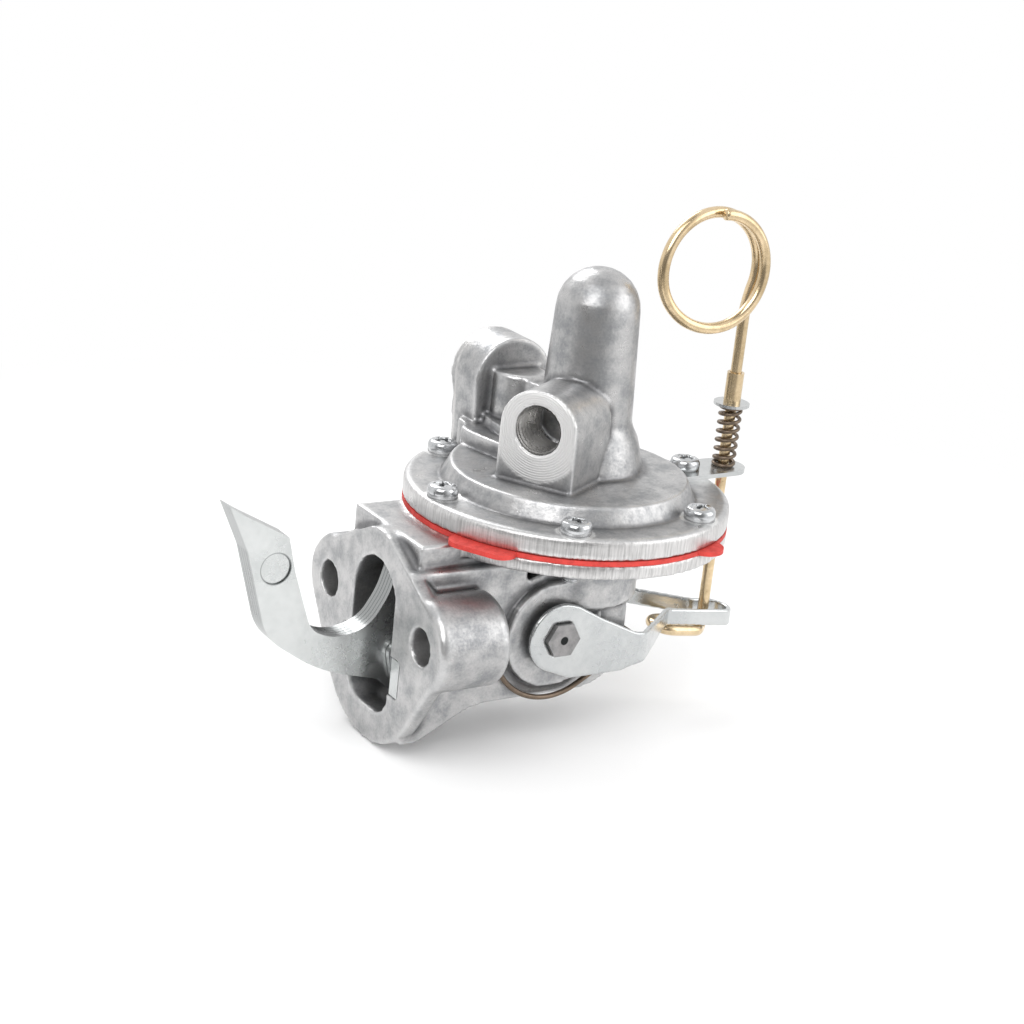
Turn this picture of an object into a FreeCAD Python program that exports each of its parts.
import FreeCAD, Part
import math
import os

# Driving dimensions in mm, origin midway between the two bolt holes on the mounting face
AXIS_X = 54.5
DISC_R = 42.4
Z_BODY_UNDER = 18.9
Z_BODY_TOP = 22.4
MEMBRANE_T = 1.2
Z_COVER_UNDER = Z_BODY_TOP + MEMBRANE_T
Z_COVER_TOP = 29.1
Z_PLATEAU = 33.6
RIM_W = 12.9
CHAMBER_R = DISC_R - RIM_W
PLATEAU_R = DISC_R - 9.4
Z_CHAMBER_TOP = 28.0
SCREW_EDGE = 4.9
SCREW_PCD = 2 * (DISC_R - SCREW_EDGE)
SCREW_COUNT = 6
SCREW_R = 2.0
SCREW_HEAD_R = 4.0
SCREW_HEAD_H = 3.5
SCREW_SPOT_R = 5.0
SCREW_HOLE_GAP = 0.25
SCREW_THREAD_GAP = 0.05
Z_SCREW_END = 16.2

# Mounting flange and lever housing
FLANGE_T = 3.5
FLANGE_BEVEL_T = 2.5
FLANGE_BEVEL = 2.0
BOLT_Y = 24.0
BOLT_HOLE_R = 4.75
EAR_R = 10.2
EAR_BOSS_R = 12.0
EAR_BOSS_END = 20.0
OPENING_Y = 10.5
OPENING_TOP = 14.3
OPENING_BOTTOM = -25.5
HOUSING_Y = 17.0
HOUSING_END = 66.0
HOUSING_BOTTOM = -21.0
NECK_R = 21.0
SPRING_BORE_R = 18.5
Z_SPRING_FLOOR = 5.0
Z_CAVITY_ROOF = 2.0

# Pivot of rocker and link, primer shaft
PIVOT_X = 9.0
PIVOT_Z = -13.0
PIN_R = 3.5
PIN_GAP = 0.05
PIN_END = 14.6
BUSH_R = 5.0
BUSH_END = 10.2
SHAFT_X = 42.5
SHAFT_Z = -3.8
SHAFT_R = 5.0
SHAFT_GAP = 0.05
BOSS_STEP_R = 14.3
BAIL_Y = NECK_R + 1.0
BOSS_STEP_END = BAIL_Y - 2.4
HEX_FLAT = 8.4
HEX_END = BAIL_Y + 1.9

# Diaphragm group
PLATE_R = 16.5
PLATE_T = 1.5
MEMBRANE_DROP = 2.5
STEM_R = 2.5
STEM_HOLE_GAP = 0.35
SEAL_R = 6.0
SEAL_DEEP = 1.9
Z_STEM_BUTTON = -10.25
STEM_BUTTON_T = 2.5
STEM_BUTTON_R = 4.5
Z_LOWER_PLATE = Z_BODY_TOP - MEMBRANE_DROP - PLATE_T
Z_UPPER_PLATE = Z_COVER_UNDER - MEMBRANE_DROP

# Link lever
LINK_TOP = -5.2
LINK_T = 2.0
LINK_EAR_IN = 3.45
LINK_EAR_T = 1.5
LINK_SLOT_W = 6.0

# Rocker
ROCKER_SHEET = 1.3
ROCKER_PLATES = 5
HUB_R = 8.5

# Ports, valves and dome in the cover
PORT_Z = 48.1
PORT_CORE_R = 6.2
PORT_A_DIR = 210.0
PORT_A_REACH = 20.9
PORT_A_HALF = 10.75
PORT_B_FACE = 43.4
PORT_B_DEEP = 12.4
PORT_B_R = 11.8
OUTLET_X = 54.5
OUTLET_Y = 22.0
INLET_X = 44.1
INLET_Y = -6.0
POCKET_R = 7.0
Z_POCKET_TOP = 36.4
Z_PORT_STEP = 37.5
VALVE_PLATE_T = 1.5
VALVE_DISC_R = 5.6
VALVE_DISC_T = 0.8
VALVE_PIN_R = 1.0
VALVE_HEAD_R = 2.9
DOME_X = 60.4
DOME_Y = 3.8
DOME_R = 10.9
Z_DOME_CENTRE = 74.7
DOME_BORE_R = 8.2
DOME_PLUG_T = 3.0

# Primer lever of bent sheet, its rod and springs
BAIL_SHEET = 1.3
BAIL_HEAD_R = 9.3
BAIL_TIP_Y = 5.0
BAIL_BEND_X = 108.5
ROD_X = 105.0
ROD_R = 1.5
RING_X = 91.9
RING_Z = 84.9
RING_R = 15.15
BRACKET_T = 1.2
ROD_SPRING_TOP = 47.3
WASHER_T = 0.8


def vec(x, y, z):
    return FreeCAD.Vector(x, y, z)


AXES = {"x": vec(1, 0, 0), "y": vec(0, 1, 0), "z": vec(0, 0, 1)}


def place(axis, level, u, v):
    if axis == "x":
        return vec(level, u, v)
    if axis == "y":
        return vec(u, level, v)
    return vec(u, v, level)


def cylinder(axis, radius, low, high, u, v):
    return Part.makeCylinder(radius, high - low, place(axis, low, u, v), AXES[axis])


def cone(axis, r_low, r_high, low, high, u, v):
    return Part.makeCone(r_low, r_high, high - low, place(axis, low, u, v), AXES[axis])


def box(x0, x1, y0, y1, z0, z1):
    return Part.makeBox(x1 - x0, y1 - y0, z1 - z0, vec(x0, y0, z0))


def ring(axis, outer, inner, low, high, u, v):
    hole = cylinder(axis, inner, low - 1, high + 1, u, v)
    return cylinder(axis, outer, low, high, u, v).cut(hole)


def polar(radius, degrees):
    angle = math.radians(degrees)
    return AXIS_X + radius * math.cos(angle), radius * math.sin(angle)


def corner(before, point, after):
    # Tangent points and middle of the arc that rounds one corner of an outline
    px, pv, radius = point
    ax, av = before[0] - px, before[1] - pv
    bx, bv = after[0] - px, after[1] - pv
    la, lb = math.hypot(ax, av), math.hypot(bx, bv)
    ax, av, bx, bv = ax / la, av / la, bx / lb, bv / lb
    half = math.acos(max(-1.0, min(1.0, ax * bx + av * bv))) / 2
    reach = radius / math.tan(half)
    mx, mv = ax + bx, av + bv
    length = math.hypot(mx, mv)
    mx, mv = mx / length, mv / length
    centre = radius / math.sin(half)
    start = (px + ax * reach, pv + av * reach)
    middle = (px + mx * (centre - radius), pv + mv * (centre - radius))
    end = (px + bx * reach, pv + bv * reach)
    return start, middle, end


def outline(points, axis, level):
    # Closed outline of straight runs; a third number in a point rounds that corner
    count = len(points)
    full = [(p[0], p[1], p[2] if len(p) > 2 else 0.0) for p in points]
    pieces = []
    for i in range(count):
        if full[i][2] > 0:
            pieces.append(corner(full[i - 1], full[i], full[(i + 1) % count]))
        else:
            pieces.append((full[i][:2], None, full[i][:2]))
    edges = []
    for i in range(count):
        start, middle, end = pieces[i]
        if middle is not None:
            spots = [place(axis, level, s[0], s[1]) for s in (start, middle, end)]
            edges.append(Part.Arc(spots[0], spots[1], spots[2]).toShape())
        following = pieces[(i + 1) % count][0]
        if math.hypot(end[0] - following[0], end[1] - following[1]) > 1e-6:
            first = place(axis, level, end[0], end[1])
            second = place(axis, level, following[0], following[1])
            edges.append(Part.makeLine(first, second))
    return Part.Wire(edges)


def prism(points, axis, low, high):
    face = Part.Face(outline(points, axis, low))
    return face.extrude(AXES[axis] * (high - low))


def hull_wire(circles, axis, level):
    # Outline round a chain of circles (u, v, radius) listed anticlockwise
    count = len(circles)
    normals = []
    for i in range(count):
        u0, v0, r0 = circles[i]
        u1, v1, r1 = circles[(i + 1) % count]
        length = math.hypot(u1 - u0, v1 - v0)
        heading = math.atan2(v1 - v0, u1 - u0)
        normals.append(heading - math.acos((r0 - r1) / length))
    edges = []
    for i in range(count):
        u, v, r = circles[i]
        enter = normals[i - 1]
        leave = normals[i]
        while leave < enter:
            leave += 2 * math.pi
        spots = []
        for angle in (enter, (enter + leave) / 2, leave):
            spots.append(place(axis, level, u + r * math.cos(angle), v + r * math.sin(angle)))
        edges.append(Part.Arc(spots[0], spots[1], spots[2]).toShape())
        u1, v1, r1 = circles[(i + 1) % count]
        far = place(axis, level, u1 + r1 * math.cos(normals[i]), v1 + r1 * math.sin(normals[i]))
        edges.append(Part.makeLine(spots[2], far))
    return Part.Wire(edges)


def hull(circles, axis, low, high):
    return Part.Face(hull_wire(circles, axis, low)).extrude(AXES[axis] * (high - low))


def hull_taper(circles, inset, axis, low, high):
    smaller = [(u, v, r - inset) for u, v, r in circles]
    wires = [hull_wire(circles, axis, low), hull_wire(smaller, axis, high)]
    return Part.makeLoft(wires, True, True)


def join(shapes):
    body = shapes[0].multiFuse(shapes[1:])
    return body.removeSplitter()


def turned(profile, u, v):
    # Solid of revolution about a vertical axis from (radius, height) points
    face = Part.Face(outline(profile, "y", 0.0))
    solid = face.revolve(vec(0, 0, 0), vec(0, 0, 1), 360)
    solid.translate(vec(u, v, 0))
    return solid


def many_sided(radius, sides):
    # Corner radius of a regular outline with the area of a circle
    return radius * math.sqrt(2 * math.pi / (sides * math.sin(2 * math.pi / sides)))


def spun(profile, sides, x, y):
    # Many-sided turned solid about a vertical axis from (radius, height) points
    faces = []
    for i in range(len(profile)):
        (r0, z0), (r1, z1) = profile[i], profile[(i + 1) % len(profile)]
        if r0 == 0 and r1 == 0:
            continue
        r0, r1 = many_sided(r0, sides), many_sided(r1, sides)
        for k in range(sides):
            a0 = 2 * math.pi * (k + 0.5) / sides
            a1 = 2 * math.pi * (k + 1.5) / sides
            spots = []
            for radius, angle, z in ((r0, a0, z0), (r0, a1, z0), (r1, a1, z1), (r1, a0, z1)):
                spot = vec(x + radius * math.cos(angle), y + radius * math.sin(angle), z)
                if not spots or (spot - spots[-1]).Length > 1e-6:
                    spots.append(spot)
            if (spots[-1] - spots[0]).Length < 1e-6:
                spots.pop()
            faces.append(Part.Face(Part.makePolygon(spots + spots[:1])))
    solid = Part.Solid(Part.makeShell(faces))
    if solid.Volume < 0:
        solid.reverse()
    return solid.removeSplitter()


def flat_sided(axis, radius, low, high, u, v, sides):
    # Plain bar with flat sides in place of a round one
    outer = many_sided(radius, sides)
    points = []
    for i in range(sides):
        angle = 2 * math.pi * (i + 0.5) / sides
        points.append((u + outer * math.cos(angle), v + outer * math.sin(angle)))
    return prism(points, axis, low, high)


def flat_ring(axis, outer, inner, low, high, u, v, sides):
    hole = flat_sided(axis, inner, low - 1, high + 1, u, v, sides)
    return flat_sided(axis, outer, low, high, u, v, sides).cut(hole)


def spin(shape, degrees, x, y):
    shape.rotate(vec(x, y, 0), vec(0, 0, 1), degrees)
    return shape


def facetted(radius, low, high, x, y):
    # Plain eight-sided bar for a shank or its hole, radius to the middle of a flat
    outer = radius / math.cos(math.pi / 8)
    points = []
    for i in range(8):
        angle = math.pi * (i + 0.5) / 4
        points.append((x + outer * math.cos(angle), y + outer * math.sin(angle)))
    return prism(points, "z", low, high)


def screw_spots():
    spots = []
    for i in range(SCREW_COUNT):
        spots.append(polar(SCREW_PCD / 2, i * 360.0 / SCREW_COUNT))
    return spots


def flange_circles():
    return [(BOLT_Y, 0, EAR_R), (0, 9, 13), (-BOLT_Y, 0, EAR_R), (0, -9.3, 25)]


def lower_body():
    flange = hull(flange_circles(), "x", 0, FLANGE_T)
    bevel_end = FLANGE_T + FLANGE_BEVEL_T
    bevel = hull_taper(flange_circles(), FLANGE_BEVEL, "x", FLANGE_T, bevel_end)
    solids = [flange, bevel]
    for side in (-1, 1):
        solids.append(cylinder("x", EAR_BOSS_R, 1, EAR_BOSS_END - 1.5, side * BOLT_Y * 0.96, 0))
        tip = cone("x", EAR_BOSS_R, EAR_BOSS_R - 1.5, EAR_BOSS_END - 1.5, EAR_BOSS_END, side * BOLT_Y * 0.96, 0)
        solids.append(tip)
    # Lever housing with its sloping underside, saddle block above it
    side_view = [(1, 16), (1, -29.5), (6, -29.5, 3), (21, HOUSING_BOTTOM - 0.6, 18)]
    side_view += [(HOUSING_END, HOUSING_BOTTOM, 13), (HOUSING_END, 6)]
    side_view += [(34, 6), (34, 16)]
    solids.append(prism(side_view, "y", -HOUSING_Y, HOUSING_Y))
    solids.append(cylinder("y", 16.5, -HOUSING_Y, HOUSING_Y, SHAFT_X, SHAFT_Z))
    solids.append(cylinder("y", BOSS_STEP_R, -BOSS_STEP_END, BOSS_STEP_END, SHAFT_X, SHAFT_Z))
    solids.append(box(3.4, 34, -15, 19, 3, 22.0))
    # Neck of the spring chamber, its spreading top and the clamping disc
    profile = [(0, 2.0), (NECK_R, 2.0), (NECK_R, 13.0), (PLATEAU_R, Z_BODY_UNDER)]
    profile += [(PLATEAU_R, Z_BODY_TOP), (0, Z_BODY_TOP)]
    solids.append(spun(profile, 64, AXIS_X, 0))
    solids.append(cylinder("z", DISC_R, Z_BODY_UNDER, Z_BODY_TOP, AXIS_X, 0))
    body = join(solids)
    cuts = []
    # Dish under the membrane and spring chamber
    dish = [(0, Z_SPRING_FLOOR), (SPRING_BORE_R, Z_SPRING_FLOOR), (SPRING_BORE_R, 16.5)]
    dish += [(CHAMBER_R, Z_BODY_TOP), (CHAMBER_R, Z_BODY_TOP + 1), (0, Z_BODY_TOP + 1)]
    cuts.append(spun(dish, 48, AXIS_X, 0))
    cuts.append(flat_sided("z", STEM_R + STEM_HOLE_GAP, 0, 6, AXIS_X, 0, 16))
    cuts.append(flat_sided("z", SEAL_R, Z_SPRING_FLOOR - SEAL_DEEP, 6, AXIS_X, 0, 20))
    # Cavity for rocker and link, open at the mounting face
    mouth = [(-OPENING_Y, OPENING_BOTTOM, 7.5), (OPENING_Y, OPENING_BOTTOM, 7.5)]
    mouth += [(OPENING_Y, OPENING_TOP, 10), (-OPENING_Y, OPENING_TOP, 10)]
    front = prism(mouth, "x", -1, 13)
    slope = [(-1, 20), (-1, -26.3), (4, -26.3), (21, HOUSING_BOTTOM + 2.5, 14), (30, HOUSING_BOTTOM + 2.5)]
    slope += [(30, 20)]
    cuts.append(front.common(prism(slope, "y", -OPENING_Y, OPENING_Y)))
    room = [(12, OPENING_TOP, 0), (28, OPENING_TOP, 3), (28, Z_CAVITY_ROOF, 3), (62.5, Z_CAVITY_ROOF, 3)]
    room += [(62.5, -17.5, 10), (21, -18.2, 14), (12, -22.6)]
    cuts.append(prism(room, "y", -OPENING_Y, OPENING_Y))
    # Bolt holes, pin slots, shaft bore, breather and screw holes
    for side in (-1, 1):
        cuts.append(cylinder("x", BOLT_HOLE_R, -1, EAR_BOSS_END + 1, side * BOLT_Y, 0))
        low, high = sorted((side * (OPENING_Y - 0.5), side * 15.0))
        slot = PIN_R + PIN_GAP
        cuts.append(box(-1, PIVOT_X, low, high, PIVOT_Z - slot, PIVOT_Z + slot))
        cuts.append(cylinder("y", slot, low, high, PIVOT_X, PIVOT_Z))
        cuts.append(box(-1, 2.2, low, high, PIVOT_Z - 5, PIVOT_Z + 5))
    cuts.append(cylinder("y", SHAFT_R + SHAFT_GAP, -30, 30, SHAFT_X, SHAFT_Z))
    cuts.append(cylinder("x", 1.6, 70, 80, 0, 9.5))
    for x, y in screw_spots():
        cuts.append(facetted(SCREW_R + SCREW_THREAD_GAP, 10, 30, x, y))
    return body.cut(cuts)


def port_a_hull(solids):
    # Front port body: rounded top, straight sides down to the flange, round inner end
    half = PORT_A_HALF
    side = [(-half, Z_COVER_TOP - 1), (half, Z_COVER_TOP - 1), (half, PORT_Z + 9.8, 9.7)]
    side += [(-half, PORT_Z + 9.8, 9.7)]
    body = prism(side, "x", AXIS_X + 0.6, AXIS_X + PORT_A_REACH)
    solids.append(spin(body, PORT_A_DIR, AXIS_X, 0))


def port_bore(depth, face):
    core = cylinder("x", PORT_CORE_R, face - depth, face + 1, 0, PORT_Z)
    return core


def upper_cover():
    disc = cylinder("z", DISC_R, Z_COVER_UNDER, Z_COVER_TOP - 0.8, AXIS_X, 0)
    rim = cone("z", DISC_R, DISC_R - 0.8, Z_COVER_TOP - 0.8, Z_COVER_TOP, AXIS_X, 0)
    slope = [(0, Z_COVER_TOP - 1), (PLATEAU_R, Z_COVER_TOP - 1), (PLATEAU_R, Z_COVER_TOP)]
    slope += [(PLATEAU_R - 2.1, Z_PLATEAU), (0, Z_PLATEAU)]
    plateau = spun(slope, 64, AXIS_X, 0)
    solids = [disc, rim, plateau]
    # Raised steps over the valves
    level_one = [(54.5, 24.0, 17.0), (60.0, 14.0, 17.0), (52.0, 12.0, 12.0)]
    solids.append(hull([level_one[0], level_one[2], level_one[1]], "z", Z_COVER_TOP, Z_PORT_STEP))
    level_two = [(54.5, 26.0, 9.5), (52.0, 18.0, 8.0), (58.0, 16.0, 9.5)]
    solids.append(hull(level_two, "z", Z_PORT_STEP - 0.5, Z_PORT_STEP + 2.2))
    # Dome with its spreading base
    dome = [(0, Z_COVER_TOP), (17.3, Z_COVER_TOP), (16.4, Z_PLATEAU), (15.2, 38.5), (14.1, 42.0)]
    dome += [(12.9, 44.0), (DOME_R + 1.25, 46.0)]
    for degrees in (0, 15, 30, 45, 60, 75):
        angle = math.radians(degrees)
        dome.append((DOME_R * math.cos(angle), Z_DOME_CENTRE + DOME_R * math.sin(angle)))
    dome.append((0, Z_DOME_CENTRE + DOME_R * math.sin(math.radians(75))))
    solids.append(spun(dome, 40, DOME_X, DOME_Y))
    port_a_hull(solids)
    # Rear port: round boss on a pedestal, round post and rib to the dome
    boss = cylinder("y", PORT_B_R, 30.0, PORT_B_FACE, AXIS_X, PORT_Z)
    foot = PORT_B_R - 1.2
    pedestal = [(-foot, Z_COVER_TOP - 1), (foot, Z_COVER_TOP - 1), (PORT_B_R, PORT_Z), (-PORT_B_R, PORT_Z)]
    moved = [(AXIS_X + u, v) for u, v in pedestal]
    solids.append(boss)
    solids.append(prism(moved, "y", 30.0, PORT_B_FACE - 1.2))
    solids.append(cylinder("z", 7.3, Z_COVER_TOP, 52.0, AXIS_X, 27.8))
    rib = hull([(AXIS_X, 27.0, 4.0), (DOME_X, DOME_Y, 4.0), (AXIS_X - 0.3, 26.0, 4.0)], "z", 36, 51)
    solids.append(rib)
    cover = join(solids)
    cuts = [cylinder("z", CHAMBER_R, Z_COVER_UNDER - 1, Z_CHAMBER_TOP, AXIS_X, 0)]
    for x, y in ((OUTLET_X, OUTLET_Y), (INLET_X, INLET_Y)):
        cuts.append(cylinder("z", POCKET_R, Z_CHAMBER_TOP - 1, Z_POCKET_TOP, x, y))
    cuts.append(flat_sided("z", 3.5, 35, PORT_Z, INLET_X, INLET_Y, 16))
    cuts.append(flat_sided("z", 3.0, 35, PORT_Z, OUTLET_X, OUTLET_Y + 3.5, 16))
    cuts.append(spin(port_bore(13.0, AXIS_X + PORT_A_REACH), PORT_A_DIR, AXIS_X, 0))
    cuts.append(spin(port_bore(PORT_B_DEEP, AXIS_X + PORT_B_FACE), 90.0, AXIS_X, 0))
    cuts.append(flat_sided("y", 2.5, OUTLET_Y + 3.5, PORT_B_FACE - PORT_B_DEEP + 1, OUTLET_X, PORT_Z, 16))
    # Dome bore, its plug seat and the cross passage through the rib
    bore = [(0, Z_CHAMBER_TOP - 1), (DOME_BORE_R, Z_CHAMBER_TOP - 1), (DOME_BORE_R, 79.0), (5.0, 82.5), (0, 82.5)]
    cuts.append(spun(bore, 24, DOME_X, DOME_Y))
    along = vec(DOME_X - OUTLET_X, DOME_Y - OUTLET_Y - 3.5, 0)
    cuts.append(Part.makeCylinder(2.2, along.Length, vec(OUTLET_X, OUTLET_Y + 3.5, 45.5), along))
    # Screw holes, and round seats for the heads that bite into the plateau and steps
    for x, y in screw_spots():
        cuts.append(facetted(SCREW_R + SCREW_HOLE_GAP, 20, 31, x, y))
        cuts.append(cylinder("z", SCREW_SPOT_R, Z_COVER_TOP, Z_PORT_STEP + 1, x, y))
    return cover.cut(cuts)


def membrane():
    outer = cylinder("z", DISC_R, Z_BODY_TOP, Z_COVER_UNDER, AXIS_X, 0)
    edge = AXIS_X + DISC_R
    wide = hull([(edge + 0.6, -5, 4), (edge + 0.6, 5, 4), (edge - 6.9, 0, 4)], "z", Z_BODY_TOP, Z_COVER_UNDER)
    tabs = [spin(wide, 209, AXIS_X, 0)]
    tabs.append(spin(cylinder("z", 5.0, Z_BODY_TOP, Z_COVER_UNDER, edge - 1.4, 0), 296, AXIS_X, 0))
    sheet = join([outer] + tabs)
    sheet = sheet.cut(flat_sided("z", CHAMBER_R - 2.5, 20, 26, AXIS_X, 0, 32))
    drop = MEMBRANE_DROP
    dish = [(STEM_R + 0.3, Z_BODY_TOP - drop), (17.5, Z_BODY_TOP - drop), (CHAMBER_R - 2.0, Z_BODY_TOP)]
    dish += [(CHAMBER_R - 2.0, Z_COVER_UNDER), (CHAMBER_R - 3.0, Z_COVER_UNDER), (17.0, Z_COVER_UNDER - drop)]
    dish += [(STEM_R + 0.3, Z_COVER_UNDER - drop)]
    sheet = sheet.fuse(spun(dish, 32, AXIS_X, 0)).removeSplitter()
    for x, y in screw_spots():
        sheet = sheet.cut(facetted(SCREW_R + SCREW_HOLE_GAP, 20, 26, x, y))
    return sheet


def clamp_plate(z):
    return flat_ring("z", PLATE_R, STEM_R, z, z + PLATE_T, AXIS_X, 0, 24)


def stem():
    shank = flat_sided("z", STEM_R, Z_STEM_BUTTON, Z_UPPER_PLATE + PLATE_T, AXIS_X, 0, 16)
    top = Z_UPPER_PLATE + PLATE_T
    head = flat_sided("z", 4.0, top, top + 1.2, AXIS_X, 0, 16)
    button = flat_sided("z", STEM_BUTTON_R, Z_STEM_BUTTON, Z_STEM_BUTTON + STEM_BUTTON_T, AXIS_X, 0, 20)
    return join([shank, head, button])


def spring(axis, radius, wire, low, high, turns, u, v, steps, sides):
    # Coil of spring wire from low to high along its axis
    count = int(round(turns * steps))
    rise = (high - low - wire) / count
    spots = []
    for i in range(count + 1):
        angle = 2 * math.pi * i / steps
        a, b = radius * math.cos(angle), radius * math.sin(angle)
        spots.append(place(axis, low + wire / 2 + rise * i, u + a, v + b))
    return bar(spots, wire / 2, sides)


def link_lever():
    web = box(17.5, 60.0, -4.95, 4.95, LINK_TOP - LINK_T, LINK_TOP)
    fork = LINK_SLOT_W / 2
    slot = box(AXIS_X - 0.6, 61, -fork, fork, -9, -4)
    slot = slot.fuse(cylinder("z", fork, -9, -4, AXIS_X - 0.6, 0))
    solids = [web.cut(slot)]
    out = LINK_EAR_IN + LINK_EAR_T
    side = [(2.2, -8.0, 3), (14.0, LINK_TOP, 3), (26.0, LINK_TOP), (26.0, LINK_TOP - LINK_T, 0)]
    side += [(18.5, -11.0, 4), (14.0, -20.2, 5), (5.0, -20.2, 6)]
    for low in (-out, LINK_EAR_IN):
        solids.append(prism(side, "y", low, low + LINK_EAR_T))
    lever = join(solids)
    return lever.cut(cylinder("y", BUSH_R + 0.05, -9, 9, PIVOT_X, PIVOT_Z))


ROCKER_EDGE = [(-42.6, 32.6), (-37.4, 21.0), (-31.0, -2.2, 14), (-15.6, -12.8, 45), (3.0, -17.6)]
ROCKER_EDGE += [(9.0, -21.5), (17.4, -15.0), (17.4, -4.9), (24.0, -4.9), (24.0, -1.5)]
ROCKER_EDGE += [(10.0, 2.0), (8.4, 12.6), (4.4, 12.6), (2.2, 5.2, 20), (-2.6, -2.6, 10)]
ROCKER_EDGE += [(-12.0, -4.6, 12), (-18.9, -1.6, 7), (-24.2, 14.0), (-26.6, 23.6), (-38.4, 30.0)]
DIMPLE_X = -29.6
DIMPLE_Z = 15.8
DIMPLE_R = 4.0
DIMPLE_DEEP = 0.5


def rocker_plate(index):
    low = (index - ROCKER_PLATES / 2) * ROCKER_SHEET
    blade = prism(ROCKER_EDGE, "y", low, low + ROCKER_SHEET)
    hub = cylinder("y", HUB_R, low, low + ROCKER_SHEET, PIVOT_X, PIVOT_Z)
    plate = join([blade, hub]).cut(cylinder("y", BUSH_R, low - 1, low + 3, PIVOT_X, PIVOT_Z))
    # The stack is locked by a round dimple, sunk in the near plate and raised on the far one
    if index == 0:
        dimple = cylinder("y", DIMPLE_R, low - 1, low + DIMPLE_DEEP, DIMPLE_X, DIMPLE_Z)
        return plate.cut(dimple)
    if index == ROCKER_PLATES - 1:
        high = low + ROCKER_SHEET
        return join([plate, cylinder("y", DIMPLE_R, high - 0.5, high + DIMPLE_DEEP, DIMPLE_X, DIMPLE_Z)])
    return plate


def rocker_bush():
    tube = cylinder("y", BUSH_R, -BUSH_END, BUSH_END, PIVOT_X, PIVOT_Z)
    return tube.cut(cylinder("y", PIN_R + PIN_GAP, -20, 20, PIVOT_X, PIVOT_Z))


def rocker_pin():
    return cylinder("y", PIN_R, -PIN_END, PIN_END, PIVOT_X, PIVOT_Z)


def pin_retainers():
    blocks = []
    for side in (-1, 1):
        low, high = sorted((side * 10.8, side * 14.7))
        plate = box(0.3, 2.2, low, high, PIVOT_Z - 4.9, PIVOT_Z + 4.9)
        nose = box(2.0, PIVOT_X - PIN_R, low, high, PIVOT_Z - PIN_R + 0.2, PIVOT_Z + PIN_R - 0.2)
        blocks.append(join([plate, nose]))
    return Part.Compound(blocks)


def hexagon(across):
    radius = across / math.sqrt(3)
    corners = []
    for i in range(6):
        angle = math.radians(60 * i)
        corners.append((SHAFT_X + radius * math.cos(angle), SHAFT_Z + radius * math.sin(angle)))
    return corners


def primer_shaft():
    shoulder = BAIL_Y - BAIL_SHEET / 2
    shaft = cylinder("y", SHAFT_R, -shoulder, shoulder, SHAFT_X, SHAFT_Z)
    shaft = shaft.cut(box(SHAFT_X - 9, SHAFT_X + 9, -7, 7, SHAFT_Z - 9, SHAFT_Z))
    ends = []
    for side in (-1, 1):
        low, high = sorted((side * shoulder, side * HEX_END))
        ends.append(prism(hexagon(HEX_FLAT), "y", low, high))
    return join([shaft] + ends)


def shaft_seals():
    # Rubber rings on the shaft between each boss and the lever arm
    rings = []
    for side in (-1, 1):
        low, high = sorted((side * (BOSS_STEP_END + 0.05), side * (BAIL_Y - BAIL_SHEET / 2 - 0.05)))
        rings.append(flat_ring("y", 7.4, SHAFT_R + 0.06, low, high, SHAFT_X, SHAFT_Z, 24))
    return Part.Compound(rings)


def stem_seal():
    low = Z_SPRING_FLOOR - SEAL_DEEP
    return flat_ring("z", SEAL_R - 0.1, STEM_R + 0.08, low, Z_SPRING_FLOOR - 0.05, AXIS_X, 0, 20)


def seal_retainer():
    return flat_ring("z", 14.5, STEM_R + STEM_HOLE_GAP, Z_SPRING_FLOOR, Z_SPRING_FLOOR + 0.8, AXIS_X, 0, 24)


def ribbon(points, thickness, axis, low, high):
    # Bent strip of even thickness along straight runs with rounded corners
    half = thickness / 2
    sides = []
    for sign in (1, -1):
        row = []
        for i in range(len(points)):
            u, v = points[i][0], points[i][1]
            radius = points[i][2] if len(points[i]) > 2 else 0
            steps = []
            if i > 0:
                steps.append((u - points[i - 1][0], v - points[i - 1][1]))
            if i < len(points) - 1:
                steps.append((points[i + 1][0] - u, points[i + 1][1] - v))
            unit = [(a / math.hypot(a, b), b / math.hypot(a, b)) for a, b in steps]
            first, last = unit[0], unit[-1]
            nx, ny = -first[1] - last[1], first[0] + last[0]
            scale = 1 + first[0] * last[0] + first[1] * last[1]
            turn = first[0] * last[1] - first[1] * last[0]
            bend = 0
            if radius > 0:
                bend = radius - sign * half if turn > 0 else radius + sign * half
            row.append((u + sign * half * nx / scale, v + sign * half * ny / scale, bend))
        sides.append(row)
    return prism(sides[0] + sides[1][::-1], axis, low, high)


BAIL_TOP_SLOPE = 0.133
BAIL_STRIP_H = 4.6


def strip_top(x):
    return -5.1 - BAIL_TOP_SLOPE * (x - 66.1)


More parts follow.
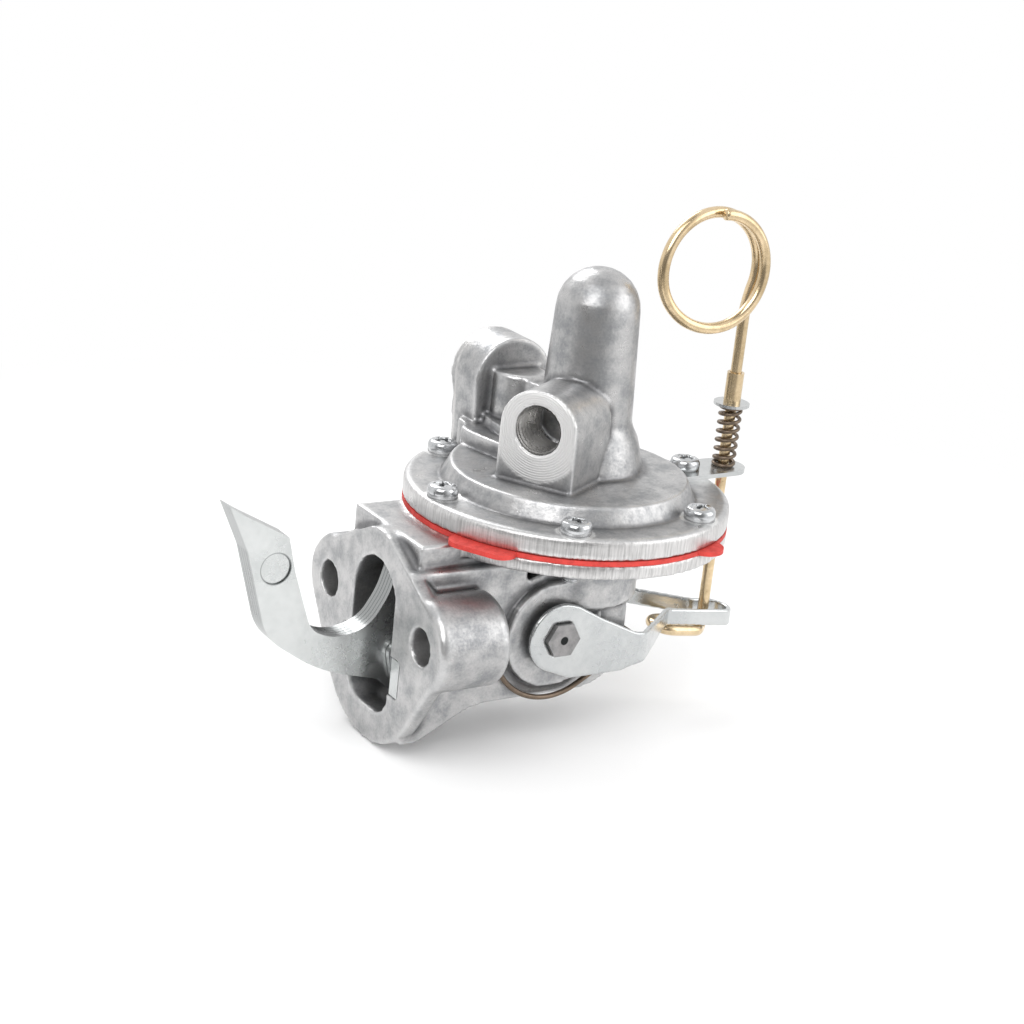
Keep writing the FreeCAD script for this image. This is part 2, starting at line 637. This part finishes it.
def primer_lever():
    tip_y = BAIL_TIP_Y - BAIL_SHEET / 2
    end = BAIL_BEND_X + tip_y
    plan = [(30, -BAIL_Y), (69, -BAIL_Y, 5), (89, -tip_y, 5), (end, -tip_y, tip_y - 0.02)]
    plan += [(end, tip_y, tip_y - 0.02), (103.5, tip_y, 5), (68, BAIL_Y, 5), (30, BAIL_Y)]
    strip = ribbon(plan, BAIL_SHEET, "z", -25, 12)
    drop = BAIL_STRIP_H
    side = [(44.0, 5.35), (46.8, 4.6, 4), (54.9, 0.2, 12), (66.1, strip_top(66.1), 10)]
    side += [(116, strip_top(116)), (116, strip_top(116) - drop), (85, strip_top(85) - drop, 6)]
    side += [(66.0, -14.2, 3), (62.5, -15.2, 1), (46.0, -15.2, 3), (39.0, -12.3)]
    head = cylinder("y", BAIL_HEAD_R, -30, 30, SHAFT_X, SHAFT_Z)
    face = join([head, prism(side, "y", -30, 30)])
    lever = strip.common(face)
    return lever.cut(prism(hexagon(HEX_FLAT + 0.06), "y", -30, 30))


def bar(spots, radius, sides):
    # Bar of even section along a run of points, mitred where it turns
    outer = radius * math.sqrt(2 * math.pi / (sides * math.sin(2 * math.pi / sides)))
    steps = [(spots[i + 1] - spots[i]).normalize() for i in range(len(spots) - 1)]
    helper = vec(0, 1, 0)
    if abs(steps[0].dot(helper)) > 0.9:
        helper = vec(0, 0, 1)
    across = steps[0].cross(helper).normalize()
    up = across.cross(steps[0]).normalize()
    loop = []
    for i in range(sides):
        angle = 2 * math.pi * (i + 0.5) / sides
        loop.append(spots[0] + across * (outer * math.cos(angle)) + up * (outer * math.sin(angle)))
    faces = [Part.Face(Part.makePolygon(loop + loop[:1]))]
    for i in range(1, len(spots)):
        normal = steps[i - 1] if i == len(spots) - 1 else (steps[i - 1] + steps[i]).normalize()
        slide = steps[i - 1]
        moved = []
        for corner_spot in loop:
            reach = (spots[i] - corner_spot).dot(normal) / slide.dot(normal)
            moved.append(corner_spot + slide * reach)
        for k in range(sides):
            n = (k + 1) % sides
            quad = [loop[k], loop[n], moved[n], moved[k], loop[k]]
            faces.append(Part.Face(Part.makePolygon(quad)))
        loop = moved
    faces.append(Part.Face(Part.makePolygon(loop + loop[:1])))
    solid = Part.Solid(Part.makeShell(faces))
    if solid.Volume < 0:
        solid.reverse()
    return solid


def rounded_run(points, step):
    # Points along straight runs; a fourth number in a point rounds that corner with an arc
    spots = [vec(p[0], p[1], p[2]) for p in points]
    run = [spots[0]]
    for i in range(1, len(points)):
        bend = points[i][3] if len(points[i]) > 3 else 0
        if bend == 0:
            run.append(spots[i])
            continue
        before = (spots[i - 1] - spots[i]).normalize()
        after = (spots[i + 1] - spots[i]).normalize()
        half = before.getAngle(after) / 2
        centre = spots[i] + (before + after).normalize() * (bend / math.sin(half))
        start = spots[i] + before * (bend / math.tan(half)) - centre
        side = (spots[i] - centre).normalize()
        outward = start - side * start.dot(side)
        count = max(2, int(round((math.pi - 2 * half) / math.radians(step))))
        for k in range(count + 1):
            angle = (math.pi / 2 - half) * (1 - 2 * k / count)
            run.append(centre + side * (bend * math.cos(angle)) + outward.normalize() * (bend * math.sin(angle)))
    return run


RETURN_LOOP_R = 17.5
RETURN_WIRE_R = 0.7
RETURN_Y = BOSS_STEP_END - 0.9
RETURN_BAR_X = 69.6


def primer_return_spring():
    near = []
    for k in range(12):
        angle = math.radians(167 + (300 - 167) * k / 11.0)
        x = SHAFT_X + RETURN_LOOP_R * math.cos(angle)
        near.append(vec(x, -RETURN_Y, SHAFT_Z + RETURN_LOOP_R * math.sin(angle)))
    foot = near[-1]
    bar_z = foot.z + (RETURN_BAR_X - foot.x) * math.tan(math.radians(30))
    cross = [(foot.x, foot.y, foot.z), (RETURN_BAR_X, -RETURN_Y, bar_z, 2.5)]
    cross += [(RETURN_BAR_X, RETURN_Y, bar_z, 2.5), (foot.x, -foot.y, foot.z)]
    far = [vec(spot.x, -spot.y, spot.z) for spot in near[:-1]]
    return bar(near[:-1] + rounded_run(cross, 30) + far[::-1], RETURN_WIRE_R, 5)


FOOT_END_X = 93.0
RING_STEPS = 32


def pull_rod():
    def foot_z(x):
        return strip_top(x) - BAIL_STRIP_H - ROD_R - 0.25

    hold_y = BAIL_TIP_Y - BAIL_SHEET / 2
    low = foot_z(ROD_X) - 0.6
    points = [(ROD_X - 8.5, hold_y, foot_z(ROD_X - 8.5))]
    points += [(FOOT_END_X - 4.3, hold_y, foot_z(FOOT_END_X - 4.3), hold_y - 0.05)]
    points += [(FOOT_END_X - 4.3, -hold_y, foot_z(FOOT_END_X - 4.3), hold_y - 0.05)]
    points += [(ROD_X - 4.5, -hold_y, foot_z(ROD_X - 4.5), 3.0)]
    points += [(ROD_X, 0, low, 2.6), (ROD_X, 0, 76.0)]
    run = rounded_run(points, 25)
    # Finger ring of one turn and a third, its second lap lying in front of the rod
    for i in range(RING_STEPS + 1):
        degrees = -18 + 468.0 * i / RING_STEPS
        share = min(1.0, max(0.0, (degrees - 190) / 110.0))
        shift = -3.25 * share * share * (3 - 2 * share)
        angle = math.radians(degrees)
        run.append(vec(RING_X + RING_R * math.cos(angle), shift, RING_Z + RING_R * math.sin(angle)))
    return bar(run, ROD_R, 8)


def rod_washer():
    low = ROD_SPRING_TOP
    return flat_ring("z", 4.8, ROD_R + 0.2, low, low + WASHER_T, ROD_X, 0, 24)


def rod_crimp():
    low = ROD_SPRING_TOP + WASHER_T
    return ring("z", 2.3, ROD_R + 0.1, low, low + 8.3, ROD_X, 0)


def rod_bracket():
    plate = hull([(ROD_X, 0, 6.0), (88.5, 0, 6.5), (89.0, 0, 6.5)], "z", Z_COVER_TOP, Z_COVER_TOP + BRACKET_T)
    x, y = polar(SCREW_PCD / 2, 0)
    plate = plate.cut(facetted(SCREW_R + SCREW_HOLE_GAP, 20, 40, x, y))
    plate = plate.cut(cylinder("z", PLATEAU_R + 0.3, 20, 40, AXIS_X, 0))
    return plate.cut(cylinder("z", ROD_R + 0.2, 20, 40, ROD_X, 0))


def cover_screws():
    screws = []
    for i, (x, y) in enumerate(screw_spots()):
        seat = Z_COVER_TOP + (BRACKET_T if i == 0 else 0)
        shank = facetted(SCREW_R, Z_SCREW_END, seat + 0.5, x, y)
        head = flat_sided("z", SCREW_HEAD_R, seat, seat + SCREW_HEAD_H, x, y, 20)
        screws.append(join([shank, head]))
    return Part.Compound(screws)


def valve_plate(x, y, low):
    plate = flat_sided("z", POCKET_R - 0.03, low, low + VALVE_PLATE_T, x, y, 32)
    for i in range(3):
        angle = math.radians(90 + 120 * i)
        hole = facetted(1.7, low - 1, low + 3, x + 3.6 * math.cos(angle), y + 3.6 * math.sin(angle))
        plate = plate.cut(hole)
    return plate


def valve_disc(x, y, low):
    return flat_ring("z", VALVE_DISC_R, VALVE_PIN_R + 0.1, low, low + VALVE_DISC_T, x, y, 20)


INLET_SEAT = Z_POCKET_TOP - VALVE_PLATE_T
OUTLET_SEAT = Z_CHAMBER_TOP + 0.2 + VALVE_PLATE_T
VALVE_SPRING_L = 4.5


def inlet_pin():
    head = INLET_SEAT - VALVE_DISC_T - VALVE_SPRING_L
    shank = flat_sided("z", VALVE_PIN_R, head, INLET_SEAT, INLET_X, INLET_Y, 20)
    return join([shank, flat_sided("z", VALVE_HEAD_R, head - 1, head, INLET_X, INLET_Y, 20)])


def outlet_pin():
    head = OUTLET_SEAT + VALVE_DISC_T + VALVE_SPRING_L
    shank = flat_sided("z", VALVE_PIN_R, OUTLET_SEAT, head, OUTLET_X, OUTLET_Y, 20)
    return join([shank, flat_sided("z", VALVE_HEAD_R, head, head + 1, OUTLET_X, OUTLET_Y, 20)])


def valve_spring(x, y, low):
    return spring("z", 2.1, 0.5, low, low + VALVE_SPRING_L, 3.0, x, y, 10, 4)


def build():
    nodes = {}
    nodes["lower_body"] = lower_body()
    nodes["upper_cover"] = upper_cover()
    nodes["diaphragm"] = membrane()
    nodes["diaphragm_lower_plate"] = clamp_plate(Z_LOWER_PLATE)
    nodes["diaphragm_upper_plate"] = clamp_plate(Z_UPPER_PLATE)
    nodes["diaphragm_stem"] = stem()
    spring_low = Z_SPRING_FLOOR + 0.83
    nodes["diaphragm_spring"] = spring("z", 12.0, 2.0, spring_low, Z_LOWER_PLATE, 3.5, AXIS_X, 0, 12, 6)
    nodes["stem_seal"] = stem_seal()
    nodes["seal_retainer"] = seal_retainer()
    for i in range(ROCKER_PLATES):
        nodes["rocker_plate_%d" % (i + 1)] = rocker_plate(i)
    nodes["rocker_bush"] = rocker_bush()
    nodes["rocker_pin"] = rocker_pin()
    nodes["pin_retainers"] = pin_retainers()
    nodes["rocker_return_spring"] = spring("x", 3.6, 1.1, 9.8, 27.7, 5.0, 0, 8.0, 12, 4)
    nodes["link_lever"] = link_lever()
    nodes["primer_shaft"] = primer_shaft()
    nodes["shaft_seals"] = shaft_seals()
    nodes["primer_lever"] = primer_lever()
    nodes["primer_return_spring"] = primer_return_spring()
    nodes["pull_rod"] = pull_rod()
    nodes["rod_washer"] = rod_washer()
    nodes["rod_crimp"] = rod_crimp()
    nodes["rod_spring"] = spring("z", 2.75, 1.0, Z_COVER_TOP + BRACKET_T, ROD_SPRING_TOP, 6.0, ROD_X, 0, 9, 5)
    nodes["rod_bracket"] = rod_bracket()
    nodes["cover_screws"] = cover_screws()
    nodes["inlet_valve_plate"] = valve_plate(INLET_X, INLET_Y, INLET_SEAT)
    nodes["inlet_valve_pin"] = inlet_pin()
    nodes["inlet_valve_disc"] = valve_disc(INLET_X, INLET_Y, INLET_SEAT - VALVE_DISC_T)
    low = INLET_SEAT - VALVE_DISC_T - VALVE_SPRING_L
    nodes["inlet_valve_spring"] = valve_spring(INLET_X, INLET_Y, low)
    nodes["outlet_valve_plate"] = valve_plate(OUTLET_X, OUTLET_Y, OUTLET_SEAT - VALVE_PLATE_T)
    nodes["outlet_valve_pin"] = outlet_pin()
    nodes["outlet_valve_disc"] = valve_disc(OUTLET_X, OUTLET_Y, OUTLET_SEAT)
    nodes["outlet_valve_spring"] = valve_spring(OUTLET_X, OUTLET_Y, OUTLET_SEAT + VALVE_DISC_T)
    low = Z_CHAMBER_TOP + 0.3
    nodes["dome_plug"] = flat_sided("z", DOME_BORE_R, low, low + DOME_PLUG_T, DOME_X, DOME_Y, 24)
    return nodes


os.makedirs("parts", exist_ok=True)
for name, shape in build().items():
    shape.exportStep("parts/%s.step" % name)
